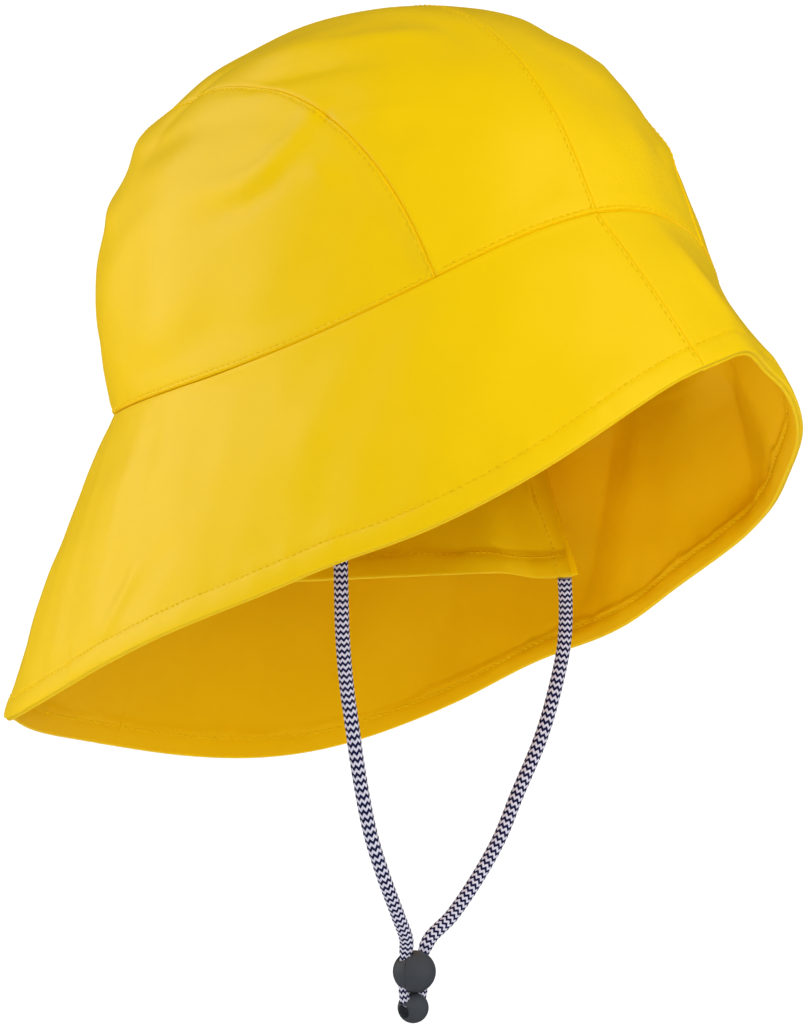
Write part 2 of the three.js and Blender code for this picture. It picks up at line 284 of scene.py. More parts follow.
def round_edges(piece, width, segments=3, angle=SHARP_ANGLE):
    """Rounds the piece's sharp edges, as a mould does."""
    modifier = piece.modifiers.new("round_edges", "BEVEL")
    modifier.width = width * MM
    modifier.segments = segments
    modifier.limit_method = "ANGLE"
    modifier.angle_limit = math.radians(angle)
    apply_modifiers(piece)


def settle(piece, turn, place):
    """Turns the piece about the vertical, moves it, and keeps both in its mesh."""
    piece.rotation_euler = (0, 0, turn)
    piece.location = place
    choose(piece)
    bpy.ops.object.transform_apply(location=True, rotation=True, scale=True)
    bpy.ops.object.shade_smooth_by_angle(angle=math.radians(SHARP_ANGLE))


def moulded_ball(name, wide, tall, segments=56, rings=36):
    """A sphere with its poles up and down, pressed to its height in edit mode."""
    bpy.ops.mesh.primitive_uv_sphere_add(
        segments=segments, ring_count=rings, radius=wide / 2 * MM, location=(0, 0, 0)
    )
    ball = bpy.context.active_object
    ball.name = name
    bpy.ops.object.mode_set(mode="EDIT")
    bpy.ops.mesh.select_all(action="SELECT")
    bpy.ops.transform.resize(value=(1, 1, tall / wide))
    bpy.ops.object.mode_set(mode="OBJECT")
    return ball


# %% Cord lock in two parts
LOCK_WIDE = 13
LOCK_TALL = 12.8
LOCK_TURN = math.radians(-40)
LOCK_CENTRE = (-8, -14, -188.5)
LOCK_PARTING = -2.05
PARTING_GAP = 0.12
PASSAGE_ROOM = 0.3
PASSAGE_TOP, PASSAGE_FOOT = -178, -205
LOCK_RIM_ROUND = 0.28


def lock_part(name, parting, keep_right):
    """The part of the ball on one side of its parting plane, with a rounded rim."""
    ball = moulded_ball(name, LOCK_WIDE, LOCK_TALL)
    bpy.ops.object.mode_set(mode="EDIT")
    bpy.ops.mesh.select_all(action="SELECT")
    bpy.ops.mesh.bisect(
        plane_co=(parting * MM, 0, 0), plane_no=(1, 0, 0), use_fill=True,
        clear_inner=keep_right, clear_outer=not keep_right,
    )
    bpy.ops.object.mode_set(mode="OBJECT")
    round_edges(ball, LOCK_RIM_ROUND)
    settle(ball, LOCK_TURN, [value * MM for value in LOCK_CENTRE])
    return ball


lock_body = lock_part("cord_lock_body", LOCK_PARTING, True)
lock_cap = lock_part("cord_lock_push_cap", LOCK_PARTING - PARTING_GAP, False)

near_lock = (cord_line[:, 2] < PASSAGE_TOP) & (cord_line[:, 2] > PASSAGE_FOOT)
passage_radius = squeezed[near_lock, None] * CORD_THICK / 2 + PASSAGE_ROOM
passage = tube_piece("cord_passage", cord_line[near_lock], passage_radius, 32)
for part in (lock_body, lock_cap):
    cut_out(part, passage)
print("lock parts have", len(lock_body.data.polygons), len(lock_cap.data.polygons), "faces")

# %% End bead with its cross hole
BEAD_WIDE = 9.4
BEAD_CENTRE = np.array((-8.1, -13.5, -199.7))
BEAD_HOLE = 4.2
BEAD_HOLE_DEEP = 3.2
HOLE_TOWARDS, HOLE_LEFT, HOLE_DOWN = 0.7, 0.68, 0.22
BEAD_RIM_ROUND = 0.16

cord_bead = moulded_ball("cord_end_bead", BEAD_WIDE, BEAD_WIDE, 44, 28)
settle(cord_bead, 0, [value * MM for value in BEAD_CENTRE])
cut_out(cord_bead, passage)
hole_way = (
    np.array(view_back) * HOLE_TOWARDS - np.array(view_right) * HOLE_LEFT
    - np.array(view_up) * HOLE_DOWN
)
hole_way /= np.linalg.norm(hole_way)
hole_line = BEAD_CENTRE + hole_way * np.linspace(BEAD_WIDE / 2 - BEAD_HOLE_DEEP, BEAD_WIDE, 4)[:, None]
hole = tube_piece("bead_hole", hole_line, BEAD_HOLE / 2, 32)
cut_out(cord_bead, hole)
round_edges(cord_bead, BEAD_RIM_ROUND, 2, 40)
for scrap in (passage, hole):
    bpy.data.objects.remove(scrap, do_unlink=True)
for piece, node in ((lock_body, "cord_lock"), (lock_cap, "cord_lock_cap"), (cord_bead, "cord_bead")):
    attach(piece, "root")
    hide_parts(node)
print("bead has", len(cord_bead.data.polygons), "faces")

# %% [markdown]
# ## Surfaces of the hat
#
# Cloth can be draped by simulation, but this hat's form comes from its pattern: each panel is
# cut to a shape and sewn, and stands by itself. So each panel lies on a surface that a formula
# gives, with the same sizes as the CAD part. The level hat is worked out first, and then tilted
# back as it sits on a head.

# %% Sizes of the opening, the crown and the brim, in millimetres
HEAD_ROUND = 600
HEAD_OVAL = 1.22
TILT_BACK = math.radians(17)
WALL = 1.4
SEAM_LAP = 0.05
CROWN_HEIGHT = 95
STRIP_HALF_FRONT, STRIP_HALF_TOP, STRIP_HALF_BACK = 46.5, 49, 40
BRIM_FRONT_SPREAD, BRIM_BACK_SPREAD, BRIM_SIDE_SPREAD = 17, 73.5, 12
BRIM_DROP = 75
FLAP_DEPTH = 70
FLAP_START_TURN = math.radians(121)
FLAP_INSET, FLAP_SEAM_DROP, FLAP_BELLY = 1.7, 1.5, 6


def oval_round(a, b):
    """Length round an oval with half axes a and b."""
    return math.pi * (3 * (a + b) - math.sqrt((3 * a + b) * (a + 3 * b)))


HALF_WIDTH = HEAD_ROUND / oval_round(HEAD_OVAL, 1)
HALF_LENGTH = HALF_WIDTH * HEAD_OVAL
print("opening", round(2 * HALF_LENGTH, 1), "by", round(2 * HALF_WIDTH, 1), "mm")

# %% Waves, dents and folds
# Columns: waves round the opening, even part, uneven part
SEAM_WAVES = [(1, 0, -0.006), (2, 0.135, 0.024), (3, 0.025, -0.042)]
RIM_WAVES = [(1, 0.386, 0.007), (2, 0.125, -0.102), (3, 0.018, -0.012), (4, 0.029, -0.03)]
# Columns: turn in degrees, height, wide in degrees, tall, depth
CROWN_DENTS = [
    (142, 0.84, 26, 0.1, 0.02), (98, 0.7, 24, 0.045, 0.012), (62, 0.93, 22, 0.03, 0.01),
    (-38, 0.8, 20, 0.06, 0.014), (-120, 0.78, 30, 0.08, 0.014), (172, 0.5, 24, 0.09, 0.012),
]
# Columns: turn in degrees, wide in degrees, out
BRIM_FOLDS = [
    (60, 13, -0.02), (86, 11, 0.03), (112, 10, -0.016), (150, 12, 0.02), (205, 13, -0.018),
    (232, 12, 0.02), (282, 8, -0.02), (300, 8, 0.024), (318, 7, -0.02),
]
# Columns: turn in degrees, wide in degrees, out and up in millimetres
RIM_TRIMS = [
    (32, 8, 0.8, 0), (61, 8, 0, 1.1), (143, 14, -2.4, 4.8), (253, 8, 0, 1.2), (317, 8, 3.4, 0),
    (337, 7, -2.2, 0), (347, 6, 0, 1.8), (268, 8, 0.6, -1.9), (116, 9, 1.3, 0),
]
# Columns: turn in degrees, wide in degrees, height in millimetres
BRIM_CREASES = [
    (276, 7, -1.8), (267, 4, -1.6), (246, 6, 1.3), (306, 7, -2.4), (345, 5, 0.6), (99, 4, 0.6),
    (92, 4, -0.5), (124, 5, 0.5), (40, 7, 0.4), (200, 6, 0.6), (180, 7, -0.5), (222, 6, -0.6),
]
BRIM_CRESTS = [(291, 8, 7.5), (259, 4, 5.4), (236, 5, 2)]
BRIM_BOW_OUT = [(122, 30, 1.7)]
BRIM_BOW_IN = [(325, 17, 3.4)]
CREST_ROUND = 0.8
# Columns: aside, forward, drop
FLAP_HEM = [
    (0.47, 0.1, 0.85), (0.58, -0.14, 0.89), (0.62, -0.44, 0.88), (0.45, -0.72, 0.83),
    (0, -0.84, 0.83), (-0.45, -0.72, 0.88), (-0.62, -0.48, 0.94), (-0.6, -0.24, 1.02),
    (-0.56, -0.03, 1.06),
]


def wave_height(rows, turn):
    """Sum of the waves at a turn."""
    return sum(even * np.cos(n * turn) + uneven * np.sin(n * turn) for n, even, uneven in rows)


def bell(value, centre, wide):
    """Soft hump of height 1 at a centre, which fades over a width."""
    return np.exp(-(((value - centre) / wide) ** 2))


def degrees_from(centre, turn):
    """Degrees from a centre to each turn, the shorter way round."""
    apart = turn - math.radians(centre)
    return np.degrees(np.arctan2(np.sin(apart), np.cos(apart)))


def hump_round(turn, centre, wide):
    """Soft hump of height 1 at a turn, with its centre and width in degrees."""
    return bell(degrees_from(centre, turn), 0, wide)


def crest_round(turn, centre, wide):
    """Sharp crest of height 1 at a turn, with its centre and width in degrees."""
    return np.exp((CREST_ROUND - np.hypot(degrees_from(centre, turn), CREST_ROUND)) / wide)


def humps(rows, turn, column=2, shape=hump_round):
    """Sum of a table's humps at a turn, each as high as a column of its row says."""
    return sum(row[column] * shape(turn, row[0], row[1]) for row in rows)


def tilted(aside, forward, up):
    """Place in the tilted hat for a place on the level hat."""
    aside, forward, up = np.broadcast_arrays(aside, forward, up)
    cosine, sine = math.cos(TILT_BACK), math.sin(TILT_BACK)
    return np.stack([-aside, up * sine - forward * cosine, forward * sine + up * cosine], axis=-1)


# %% Crown seam, rim and crown
RIM_BLUNT = 4.1
RIM_SKEW = math.radians(-7.6)
CROWN_FULLNESS = 0.734
RISE_POWER, BELLY_POWER, SEAM_FADE_POWER = 0.99, 1.2, 1.3
BELLY_ROUND, BELLY_FRONT, BELLY_FADE = 1.3, 2.6, 0.3
TOP_ASIDE, TOP_FORWARD, MIDDLE_BACK = 5, 6, 8.4


def seam_place(turn):
    """Crown seam at a turn from the front towards the wearer's right."""
    up = CROWN_HEIGHT * wave_height(SEAM_WAVES, turn)
    return HALF_WIDTH * np.sin(turn), HALF_LENGTH * np.cos(turn), up


def rim_place(turn):
    """Rim of the brim at a turn, an oval set back from the opening's centre."""
    half_length = HALF_LENGTH + (BRIM_FRONT_SPREAD + BRIM_BACK_SPREAD) / 2
    set_back = (BRIM_BACK_SPREAD - BRIM_FRONT_SPREAD) / 2
    out = 1 + (BRIM_DROP * humps(BRIM_FOLDS, turn) + humps(RIM_TRIMS, turn)) / half_length
    aside = (HALF_WIDTH + BRIM_SIDE_SPREAD) * np.sin(turn) * out
    blunt = RIM_BLUNT * (np.cos(turn) - np.cos(3 * turn))
    forward = (half_length * np.cos(turn) + blunt) * out - set_back
    return (
        aside * math.cos(RIM_SKEW) + forward * math.sin(RIM_SKEW),
        forward * math.cos(RIM_SKEW) - aside * math.sin(RIM_SKEW),
        BRIM_DROP * (wave_height(RIM_WAVES, turn) - 1) + humps(RIM_TRIMS, turn, 3),
    )


def crown_place(direction):
    """Outer surface of the crown for directions on the unit half-ball above the opening."""
    turn = np.arctan2(direction[..., 0], direction[..., 1])
    rise = np.clip(direction[..., 2], 0, 1)
    high = rise ** RISE_POWER
    belly = (BELLY_ROUND + BELLY_FRONT * np.cos(turn)) / HALF_WIDTH
    swell = 1 + belly * np.sin(math.pi * high).clip(0) ** BELLY_POWER * (1 - BELLY_FADE * high)
    dent = sum(
        depth * bell(high, height, tall) * hump_round(turn, centre, wide)
        for centre, height, wide, tall, depth in CROWN_DENTS
    )
    level = (1 - rise * rise) ** (CROWN_FULLNESS / 2)
    plan = level * swell * (1 - dent)
    aside, forward, up = seam_place(turn)
    fade = (1 - high) ** SEAM_FADE_POWER * level * level
    return tilted(
        aside * plan + TOP_ASIDE * high,
        forward * plan + TOP_FORWARD * high - MIDDLE_BACK * 4 * high * (1 - high),
        up * fade - SEAM_LAP * (1 - high) + CROWN_HEIGHT * high * (1 - dent),
    )


# %% The four kinds of panel
END_SHARE = 0.001
BRIM_BOW = 1.2
BOW_IN_SHARE = 0.8


def strip_half(angle):
    """Half width of the crown's middle strip, as a share of the opening's half width."""
    ends = (STRIP_HALF_FRONT + STRIP_HALF_BACK) / 4
    lean = (STRIP_HALF_FRONT - STRIP_HALF_BACK) / 2
    half = ends + STRIP_HALF_TOP / 2 + lean * np.cos(angle)
    return (half + (ends - STRIP_HALF_TOP / 2) * np.cos(2 * angle)) / HALF_WIDTH


def slice_direction(aside, angle):
    """Direction to the crown where a slice at a share of the half width meets it."""
    aside, angle = np.broadcast_arrays(aside, angle)
    level = np.sqrt(1 - aside * aside)
    return np.stack([aside, level * np.cos(angle), level * np.sin(angle)], axis=-1)


def top_surface(side):
    """Top panel: along runs from front to back, across from the centre seam outwards."""
    def place(along, across):
        angle = math.pi * along
        lap = SEAM_LAP / HALF_WIDTH
        share = -lap + across * (strip_half(angle) + 2 * lap)
        return crown_place(slice_direction(side * share, angle))
    return place


def side_surface(side):
    """Side panel: along runs from front to back, across from the crown seam upwards."""
    front_turn = math.asin(strip_half(0))
    back_turn = math.pi - math.asin(strip_half(math.pi))

    def place(along, across):
        way = END_SHARE + (1 - 2 * END_SHARE) * along
        turn = front_turn + (back_turn - front_turn) * way
        low = np.stack([np.sin(turn), np.cos(turn), 0 * turn], axis=-1)
        angle = math.pi * way
        high = slice_direction(strip_half(angle) - SEAM_LAP / HALF_WIDTH, angle)
        direction = low + (high - low) * across[..., None]
        direction /= np.linalg.norm(direction, axis=-1, keepdims=True)
        direction[..., 0] *= side
        return crown_place(direction)
    return place


def drawn_down(seam, foot, across, turn, bow):
    """Tilted place between a seam and a lower edge, with a bow outwards at a turn."""
    aside, forward, up = (start + (end - start) * across for start, end in zip(seam, foot))
    return tilted(aside + bow * np.sin(turn), forward + bow * np.cos(turn), up)


def brim_surface(side):
    """Half of the brim: along runs from the front seam to the back one, across downwards."""
    def place(along, across):
        lap = SEAM_LAP / HALF_LENGTH
        turn = side * (-lap + (math.pi + 2 * lap) * along)
        bow = (BRIM_BOW + humps(BRIM_BOW_OUT, turn)) * np.sin(math.pi * across)
        sunk = np.sin(math.pi * np.minimum(across / BOW_IN_SHARE, 1))
        bow = bow - humps(BRIM_BOW_IN, turn) * sunk
        return drawn_down(seam_place(turn), rim_place(turn), across, turn, bow)
    return place


def along_rows(rows, column, way):
    """Value of a table's column at a share of the way along its rows, as a smooth curve."""
    values = np.array([row[column] for row in rows], float)
    spot = np.clip(way, 0, 1) * (len(values) - 1)
    index = np.minimum(spot.astype(int), len(values) - 2)
    before = values[np.maximum(index - 1, 0)]
    start, end = values[index], values[index + 1]
    after = values[np.minimum(index + 2, len(values) - 1)]
    return between(spot - index, start, end, (end - before) / 2, (after - start) / 2)


def flap_surface(along, across):
    """Neck flap: along runs round the back from the right corner, across from seam to hem."""
    turn = FLAP_START_TURN + (2 * math.pi - 2 * FLAP_START_TURN) * along
    aside, forward, up = seam_place(turn)
    inset = 1 - FLAP_INSET / HALF_WIDTH
    seam = (aside * inset, forward * inset, up - FLAP_SEAM_DROP)
    hem = (
        HALF_WIDTH * along_rows(FLAP_HEM, 0, along),
        HALF_LENGTH * along_rows(FLAP_HEM, 1, along),
        -FLAP_DEPTH * along_rows(FLAP_HEM, 2, along),
    )
    belly = FLAP_BELLY * np.sin(math.pi * across) * np.sin(math.pi * along)
    return drawn_down(seam, hem, across, turn, belly)


# %% [markdown]
# ## Cloth panels as closed walls
#
# Each panel is a grid of points on its surface. The outer face is lifted by a relief, in
# millimetres, and the inner face lies a wall's thickness below it. The relief is written from
# the distance to each edge: a sewn edge turns in and sinks, a topstitched one has a small roll
# and a stitch groove, and a hem is thick and soft. The grid is finest near the edges.

# %% Grid, distances and relief
WANDER_STEPS, WANDER_START = 400, 7
DRIFT_WAVES, DRIFT_PHASE, DRIFT_SCALE = 7, 6.28, 3.2


def edge_dense(count, length, finest=0.28, coarsest=2.4, growth=0.13):
    """Shares from 0 to 1 whose steps are finest at both ends of a length in millimetres."""
    distance = np.linspace(0, length, 4000)
    step = np.minimum(finest + growth * np.minimum(distance, length - distance), coarsest)
    gathered = np.concatenate([[0], np.cumsum(1 / step[:-1])])
    return np.interp(np.linspace(0, gathered[-1], count), gathered, distance / length)


def smoothstep(low, high, value):
    """0 below low, 1 above high, and smooth between."""
    share = np.clip((value - low) / (high - low), 0, 1)
    return share * share * (3 - 2 * share)


def wander(run, wave, seed):
    """Smooth random line between -1 and 1 along a distance."""
    values = np.random.default_rng(seed).uniform(-1, 1, WANDER_STEPS)
    spot = np.asarray(run) / wave + WANDER_START
    index = np.floor(spot).astype(int) % (WANDER_STEPS - 1)
    share = smoothstep(0, 1, spot - np.floor(spot))
    return values[index] * (1 - share) + values[index + 1] * share


def drift(places, wave, seed):
    """Smooth random field between about -1 and 1 in space."""
    rng = np.random.default_rng(seed)
    total = 0
    for _ in range(DRIFT_WAVES):
        way = rng.normal(size=3)
        way *= 2 * math.pi / wave / np.linalg.norm(way) * rng.uniform(0.7, 1.4)
        total = total + np.sin(places @ way + rng.uniform(0, DRIFT_PHASE))
    return total / DRIFT_SCALE


def panel_grid(surface, along_shares, across_shares):
    """Points of a surface, their normals, and each point's distance to the four edges."""
    along, across = np.meshgrid(along_shares, across_shares, indexing="ij")
    place = surface(along, across)
    normal = np.cross(np.gradient(place, axis=0), np.gradient(place, axis=1))
    normal /= np.linalg.norm(normal, axis=-1, keepdims=True)
    grid = SimpleNamespace(place=place, normal=normal, along=along, across=across)
    grid.front, grid.low = lengths_along(place), lengths_along(place, 1)
    grid.back, grid.high = grid.front[-1:] - grid.front, grid.low[:, -1:] - grid.low
    grid.nearest = np.minimum.reduce([grid.low, grid.high, grid.front, grid.back])
    grid.run_low, grid.run_high = grid.front[:, :1], grid.front[:, -1:]
    grid.run_front, grid.run_back = grid.low[:1], grid.low[-1:]
    return grid


# %% Relief of seams and hems
STITCH_PITCH = 2.4
SEAM_STITCH_IN = 1.4
HEM_STITCH_IN = 6.5
HEM_TURNED_IN = 9.0
# Rows of height, distance from the edge and width, in millimetres
TUCK = (-0.42, 0, 0.3)
PLAIN_ROLL = (0.06, 1.5, 0.9)
STITCHED_ROLL = (0.09, 0.75, 0.4)
STITCHED_GROOVE = (-0.08, SEAM_STITCH_IN, 0.4)
STITCH_BEAT = (0.07, SEAM_STITCH_IN, 0.8)
INNER_TUCK = (-0.3, 0, 0.6)
# Columns: wave along the edge, height, step of the seed
HEM_PUCKERS = [(9, 0.3, 0), (4.3, 0.14, 1)]
HEM_EDGE = [(12, 0.8, 0), (4, 0.5, 4)]
HEM_DRAWN = [(10, 0.6, 2), (4.6, 0.35, 3)]
LAYERS_THICK, LAYERS_FROM, LAYERS_TO = 0.2, 4, 9
ALLOWANCE_THICK, ALLOWANCE_FROM, ALLOWANCE_TO = 0.2, 7.2, 8.6
BAND_HIGH, BAND_BLUNT = 0.28, 0.7
OUTER_GROOVE, OUTER_GROOVE_WIDE, OUTER_PUCKER_WIDE = 0.17, 0.5, 4.5
INNER_ROLL, INNER_GROOVE, INNER_GROOVE_WIDE = 0.45, 0.4, 0.7
DRAWN_BEYOND, DRAWN_WIDE = 1.5, 3


def ridge(distance, high, centre, wide):
    """Ridge or groove along an edge."""
    return high * bell(distance, centre, wide)


def puckers(run, rows, seed):
    """Sum of random lines along an edge."""
    return sum(high * wander(run, wave, seed + step) for wave, high, step in rows)


def edge_lines(grid, edge):
    """Distance from one edge of a panel, and the run along it."""
    return getattr(grid, edge), getattr(grid, "run_" + edge)


def plain_seam(grid, edge, _=None):
    """A sewn edge that rolls in."""
    distance = getattr(grid, edge)
    return ridge(distance, *TUCK) + ridge(distance, *PLAIN_ROLL)


def stitched_seam(grid, edge, seed):
    """A sewn edge with topstitching: a roll, a groove with its stitches, and puckers."""
    distance, run = edge_lines(grid, edge)
    layers = LAYERS_THICK * (1 - smoothstep(LAYERS_FROM, LAYERS_TO, distance))
    lying = ridge(distance, *STITCHED_ROLL) + ridge(distance, *STITCHED_GROOVE) + layers
    beat = np.cos(2 * math.pi * run / STITCH_PITCH) * ridge(distance, *STITCH_BEAT)
    pucker = 0.26 * wander(run, 7, seed) * np.exp(-distance / 5) * smoothstep(0, 2, distance)
    return ridge(distance, *TUCK) + lying * smoothstep(0, 0.5, distance) + beat + pucker


def hem_outside(grid, edge, stitch_in, seed):
    """The outer side of a hem: a soft band, a stitch groove and puckers."""
    distance, run = edge_lines(grid, edge)
    band = BAND_HIGH * np.sin(math.pi * np.clip(distance / stitch_in, 0, 1)) ** BAND_BLUNT
    groove = ridge(distance, OUTER_GROOVE, stitch_in, OUTER_GROOVE_WIDE)
    pucker = puckers(run, HEM_PUCKERS, seed) * bell(distance, stitch_in, OUTER_PUCKER_WIDE)
    return band - groove + pucker


def hem_inside(grid, edge, stitch_in, turned_in, seed):
    """The inner side of a hem: the turned-in cloth with its edge and drawn puckers."""
    distance, run = edge_lines(grid, edge)
    ends = turned_in + puckers(run, HEM_EDGE, seed)
    layer = 1 - smoothstep(ends - 0.45, ends + 0.2, distance)
    rolled = INNER_ROLL * np.sin(math.pi * np.clip(distance / stitch_in, 0, 1))
    groove = ridge(distance, INNER_GROOVE, stitch_in, INNER_GROOVE_WIDE)
    drawn = puckers(run, HEM_DRAWN, seed) * bell(distance, stitch_in + DRAWN_BEYOND, DRAWN_WIDE)
    return layer + rolled - groove + drawn


def seam_inside(distance):
    """The pressed seam allowance inside the hat."""
    allowance = 1 - smoothstep(ALLOWANCE_FROM, ALLOWANCE_TO, distance)
    return ALLOWANCE_THICK * allowance + ridge(distance, *INNER_TUCK)


print("stitches every", STITCH_PITCH, "mm; hem turned in by", HEM_TURNED_IN, "mm")

# %% Closed wall from two faces
RIM_ROWS = 12
LOBE_OUTER, LOBE_INNER, LOBE_MIDDLE = 0.1, 0.34, 0.04


def wall_piece(name, node, grid, outer, inner, hemmed=()):
    """Closed wall between an outer and an inner face. hemmed names the thick rolled edges."""
    outside = grid.place + grid.normal * outer[..., None]
    inside = grid.place + grid.normal * (inner - WALL)[..., None]
    rows, columns = outer.shape
    count = rows * columns
    number = np.arange(count).reshape(rows, columns)
    quads = np.stack([number[:-1, :-1], number[1:, :-1], number[1:, 1:], number[:-1, 1:]], -1)
    quads = quads.reshape(-1, 4)
    under = quads[:, ::-1] + count
    loop = np.concatenate([
        number[:-1, 0], number[-1, :-1], number[:0:-1, -1], number[0, :0:-1],
    ])
    edges = {
        "low": (number[:, 0], grid.place[:, 0] - grid.place[:, 1]),
        "high": (number[:, -1], grid.place[:, -1] - grid.place[:, -2]),
        "front": (number[0], grid.place[0] - grid.place[1]),
        "back": (number[-1], grid.place[-1] - grid.place[-2]),
    }
    away = np.zeros((count, 3))
    roll = np.zeros(count)
    for edge, (spots, ways) in edges.items():
        if edge in hemmed:
            away[spots] += ways / np.linalg.norm(ways, axis=-1, keepdims=True)
            roll[spots] = 1
    away /= np.maximum(np.linalg.norm(away, axis=-1, keepdims=True), 1e-9)
    start, end = outside.reshape(-1, 3)[loop], inside.reshape(-1, 3)[loop]
    depth = np.linalg.norm(end - start, axis=1) * roll[loop]
    shares = np.arange(1, RIM_ROWS) / RIM_ROWS
    lobes = np.sqrt(np.clip(1 - (4 * (shares % 0.5) - 1) ** 2, 0, 1))
    lobes = lobes * np.where(shares < 0.5, LOBE_OUTER, LOBE_INNER)
    lobes = lobes + LOBE_MIDDLE * np.sin(math.pi * shares)
    rim = start[None] + (end - start)[None] * shares[:, None, None]
    rim = rim + away[loop][None] * (depth[None] * lobes[:, None])[..., None]
    points = np.vstack([outside.reshape(-1, 3), inside.reshape(-1, 3), rim.reshape(-1, 3)])
    around = len(loop)
    rings = [loop]
    rings += [2 * count + row * around + np.arange(around) for row in range(RIM_ROWS - 1)]
    rings += [loop + count]
    closing = []
    for upper, lower in zip(rings[:-1], rings[1:]):
        closing.append(np.stack([upper, lower, np.roll(lower, -1), np.roll(upper, -1)], -1))
    closing = np.vstack(closing)
    faces = np.vstack([quads, under, closing])
    flat = np.stack([grid.front, grid.low], -1).reshape(-1, 2) * MM
    rim_flat = np.tile(flat[loop], (RIM_ROWS - 1, 1))
    uvs = np.vstack([flat, flat, rim_flat])[faces.ravel()]
    materials = np.concatenate([np.zeros(len(quads)), np.ones(len(under)), np.zeros(len(closing))])
    piece = mesh_piece(name, points, faces.tolist(), uvs, materials)
    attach(piece, "root")
    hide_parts(node)
    print(name, len(piece.data.polygons), "faces")
    return piece, SimpleNamespace(**vars(grid), outside=outside, inside=inside)


# %% [markdown]
# ## Crown panels
#
# The two top panels run from the front of the crown over to its back, with a seam between
# them, and a side panel closes each side. On the real hat the seams are topstitched on the
# side panels' edge, on one side of the centre seam, and all round just above the brim.
#
# Coated cloth bends into a few soft folds. Sculpting could make them by hand, but here each one
# is a line of points in space with a width and a height: it lifts every panel that it passes,
# on both faces, so a fold runs on over a seam and the wall keeps its thickness.

# %% Folds of the crown
CLOTH_SOFTNESS = 0.5
FADE_IN = 14
FOLD_ENDS = 0.15


def soft(grid, seed):
    """Faint hollows and swells that keep the cloth from looking machined."""
    return CLOTH_SOFTNESS * (drift(grid.place, 46, seed) + 0.4 * drift(grid.place, 19, seed + 1))


def fade_in(grid):
    """0 at every edge of a panel and 1 well inside it, so that neighbours meet."""
    return smoothstep(0, FADE_IN, grid.nearest)


# Rows: points along a fold in millimetres, its half width and its height in millimetres
CLOTH_FOLDS = [
    ([(-78, -2, 49), (-77, -14, 50), (-75, -24, 52), (-71, -31, 56), (-65, -36, 63),
      (-60, -37, 69), (-56, -36, 74)], 4.4, 1.5),
    ([(-79, -8, 42), (-78, -19, 43), (-75, -29, 46), (-71, -36, 51), (-66, -40, 58)], 3.6, -1.3),
    ([(-54, 2, 85), (-49, -12, 88), (-41, -26, 91), (-32, -36, 93), (-18, -44, 94)], 4.5, 1.3),
    ([(-62, 4, 77), (-59, -11, 80), (-53, -23, 83), (-46, -34, 86), (-37, -46, 86)], 4, -1.3),
    ([(-55, -45, 71), (-46, -55, 72), (-35, -64, 74)], 3.4, 0.9),
    ([(-56, -50, 64), (-47, -60, 65), (-38, -68, 67)], 4, -0.7),
    ([(-57, -39, 73), (-56, -44, 70)], 2.2, -0.9),
    ([(-64, -44, 57), (-63, -49, 55), (-61, -54, 53)], 2.6, 0.8),
    ([(-68, 34, 62), (-64, 26, 69), (-59, 20, 77), (-52, 12, 84)], 3.6, -1.2),
    ([(-74, 34, 58), (-59, 53, 57), (-44, 68, 55)], 9, 2.4),
    ([(-78, 42, 37), (-66, 60, 38), (-54, 76, 38)], 5, 1.4),
    ([(18, -64, 83), (29, -48, 88), (38, -32, 88)], 13, 1),
    ([(22, -66, 79), (34, -50, 83), (43, -34, 84)], 3.5, 0.6),
    ([(38, -75, 57), (48, -64, 59), (56, -52, 62)], 4.5, 1.2),
    ([(29, -62, 77), (28, -77, 63), (26, -86, 51)], 7, 0.7),
    ([(78, 0, 47), (74, -18, 52), (66, -30, 60)], 4, 1),
    ([(60, 30, 76), (50, 12, 86), (38, -2, 93)], 5, -1),
    ([(10, 92, 45), (-8, 86, 58), (-20, 74, 70)], 5, 0.9),
]


def fold(places, line, wide, high):
    """Height of a fold along a line with straight stretches, which fades at both its ends."""
    nearest = np.full(places.shape[:-1], 1000.0)
    along = np.zeros(places.shape[:-1])
    for number, (start, end) in enumerate(zip(np.array(line[:-1]), np.array(line[1:]))):
        way = end - start
        share = np.clip((places - start) @ way / (way @ way), 0, 1)
        apart = np.linalg.norm(places - start - share[..., None] * way, axis=-1)
        along = np.where(apart < nearest, (number + share) / (len(line) - 1), along)
        nearest = np.minimum(nearest, apart)
    ends = FOLD_ENDS + (1 - FOLD_ENDS) * np.sin(math.pi * along)
    return high * bell(nearest, 0, wide) * ends


def folds(grid, rows, seed):
    """Height of a panel's soft hollows and of the folds that lie across it."""
    return soft(grid, seed) * fade_in(grid) + sum(fold(grid.place, *row) for row in rows)


print(len(CLOTH_FOLDS), "folds on the crown")

# %% Top panels
SIDES = ((1, "right"), (-1, "left"))
FLAT_FROM, FLAT_TO, FLAT_SHARE = 62, 96, 0.7


def both_ways(surface, side):
    """The surface with its first direction turned round where that faces it outwards."""
    return surface if side > 0 else (lambda along, across: surface(1 - along, across))


top_grids = {}
for side, word in SIDES:
    grid = panel_grid(
        both_ways(top_surface(side), side), edge_dense(300, 330), edge_dense(52, 50)
    )
    folded = folds(grid, CLOTH_FOLDS, 11)
    flatter = 1 - FLAT_SHARE * smoothstep(FLAT_FROM, FLAT_TO, grid.place[..., 2])
    centre = stitched_seam if side > 0 else plain_seam
    outer = folded + plain_seam(grid, "high") + centre(grid, "low", 21) * flatter
    outer = outer + stitched_seam(grid, "front", 22) + stitched_seam(grid, "back", 23)
    inner = folded - seam_inside(grid.nearest)
    _, top_grids[word] = wall_piece(
        "crown_top_panel_" + word, "crown_top_" + word, grid, outer, inner
    )

